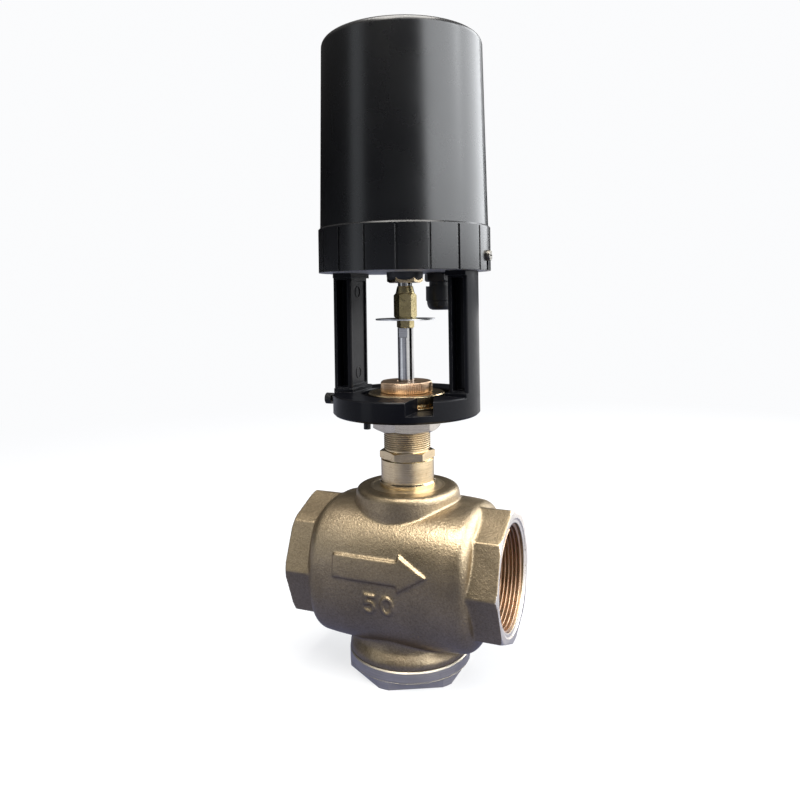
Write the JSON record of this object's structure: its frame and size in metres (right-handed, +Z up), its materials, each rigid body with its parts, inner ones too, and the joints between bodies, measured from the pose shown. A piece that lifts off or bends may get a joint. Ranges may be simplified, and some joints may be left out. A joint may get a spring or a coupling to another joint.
{
  "type": "motorised zone control valve",
  "caption": "Two-way threaded globe valve for heating or cooling zones, with a motor drive on an open yoke that lifts the stem and plug.",
  "frame": {"origin": "centre of the bottom cap's flat underside", "axes": "+Z up along the stem, +X along the flow towards the outlet, -Y is the front face with the flow arrow"},
  "size_m": [0.13, 0.1044, 0.376],
  "materials": {
    "cast_bronze": "sand-cast, matt, fine grain",
    "cap_brass": "turned, dull",
    "turned_brass": "turned, bright",
    "pale_brass": "turned, bright",
    "olive_brass": "milled, satin",
    "knurled_bronze": "knurled, satin",
    "polished_steel": "ground and polished",
    "turned_steel": "turned",
    "zinc_steel": "zinc plated",
    "black_steel": "black oxide",
    "cast_aluminium": "die-cast",
    "yoke_paint": "black stove enamel, semi-gloss",
    "cover_plastic": "moulded, satin gloss",
    "black_nylon": "moulded",
    "black_rubber": "moulded",
    "white_ptfe": "turned",
    "white_acetal": "moulded",
    "blue_plastic": "moulded",
    "board_green": "solder mask",
    "chip_black": "moulded",
    "terminal_green": "moulded"
  },
  "bodies": {
    "valve_frame": {"base_plate": "cast_aluminium", "board_brackets": "zinc_steel", "board_components": "chip_black", "bonnet": "turned_brass", "bonnet_seal": "black_rubber", "bottom_cap": "cap_brass", "bottom_cap_seal": "black_rubber", "capacitor": "blue_plastic", "circuit_board": "board_green", "clamp_screw": "black_steel", "cover_gasket": "black_rubber", "cover_screws": "zinc_steel", "dust_cap": "black_rubber", "gland_body": "black_nylon", "gland_compression_nut": "black_nylon", "gland_follower": "turned_brass", "gland_locknut": "black_nylon", "gland_nut": "knurled_bronze", "gland_rubber": "black_rubber", "guide_bush": "turned_brass", "idler_axle": "polished_steel", "lower_gear_plate": "zinc_steel", "motor_can": "zinc_steel", "motor_gearbox": "cast_aluminium", "mounting_washer": "turned_brass", "nut_bearings": "turned_steel", "packing_rings": "white_ptfe", "packing_washer": "turned_brass", "pillars": "turned_steel", "plate_nuts": "zinc_steel", "pot_bracket": "zinc_steel", "potentiometer": "blue_plastic", "ring_nut": "turned_brass", "ring_set_screw": "black_steel", "seat_ring": "turned_steel", "terminal_block": "terminal_green", "terminal_screws": "zinc_steel", "upper_gear_plate": "zinc_steel", "valve_body": "cast_bronze", "yoke": "yoke_paint", "yoke_lock_nut": "pale_brass", "yoke_screws": "zinc_steel"},
    "stem_group": {"plug": "turned_brass", "plug_seal": "white_ptfe", "plug_nut": "turned_steel", "valve_stem": "polished_steel", "stem_lock_nut": "olive_brass", "indicator_disc": "zinc_steel", "coupling": "olive_brass", "output_spindle": "polished_steel", "carriage": "cast_aluminium", "carriage_nuts": "zinc_steel", "feedback_rack": "white_acetal"},
    "drive_group": {"drive_gear": "white_acetal", "drive_nut": "turned_brass"},
    "idler_group": {"idler_gear": "white_acetal"},
    "pinion_group": {"motor_pinion": "white_acetal", "motor_shaft": "polished_steel"},
    "feedback_group": {"feedback_gear": "white_acetal"},
    "cover_group": {"cover": "cover_plastic"}
  },
  "joints": [
    {"name": "stem_lift", "type": "slide", "parent": "valve_frame", "child": "stem_group", "axis": [0, 0, 1], "range_m": [-0.02, 0]},
    {"name": "drive_gear_spin", "type": "hinge", "parent": "valve_frame", "child": "drive_group", "pos_m": [0, 0, 0.275], "axis": [0, 0, 1], "range_deg": [-0.5, 1800.5]},
    {"name": "idler_gear_spin", "type": "hinge", "parent": "valve_frame", "child": "idler_group", "pos_m": [-0.0058, 0.02903, 0.275], "axis": [0, 0, 1], "range_deg": [-3750.5, 0.5]},
    {"name": "motor_pinion_spin", "type": "hinge", "parent": "valve_frame", "child": "pinion_group", "pos_m": [-0.02191, 0.02194, 0.275], "axis": [0, 0, 1], "range_deg": [-0.5, 4500.5]},
    {"name": "feedback_gear_spin", "type": "hinge", "parent": "valve_frame", "child": "feedback_group", "pos_m": [0.0143, -0.0204, 0.318], "axis": [1, 0, 0], "range_deg": [-180, 0.5]},
    {"name": "cover_lift", "type": "slide", "parent": "valve_frame", "child": "cover_group", "axis": [0, 0, 1], "range_m": [0, 0.15]}
  ],
  "couplings": [
    {"joint": "drive_gear_spin", "follows": "stem_lift", "rad_per_m": -1570.8},
    {"joint": "idler_gear_spin", "follows": "stem_lift", "rad_per_m": 3272.5},
    {"joint": "motor_pinion_spin", "follows": "stem_lift", "rad_per_m": -3927},
    {"joint": "feedback_gear_spin", "follows": "stem_lift", "rad_per_m": 156.25}
  ]
}
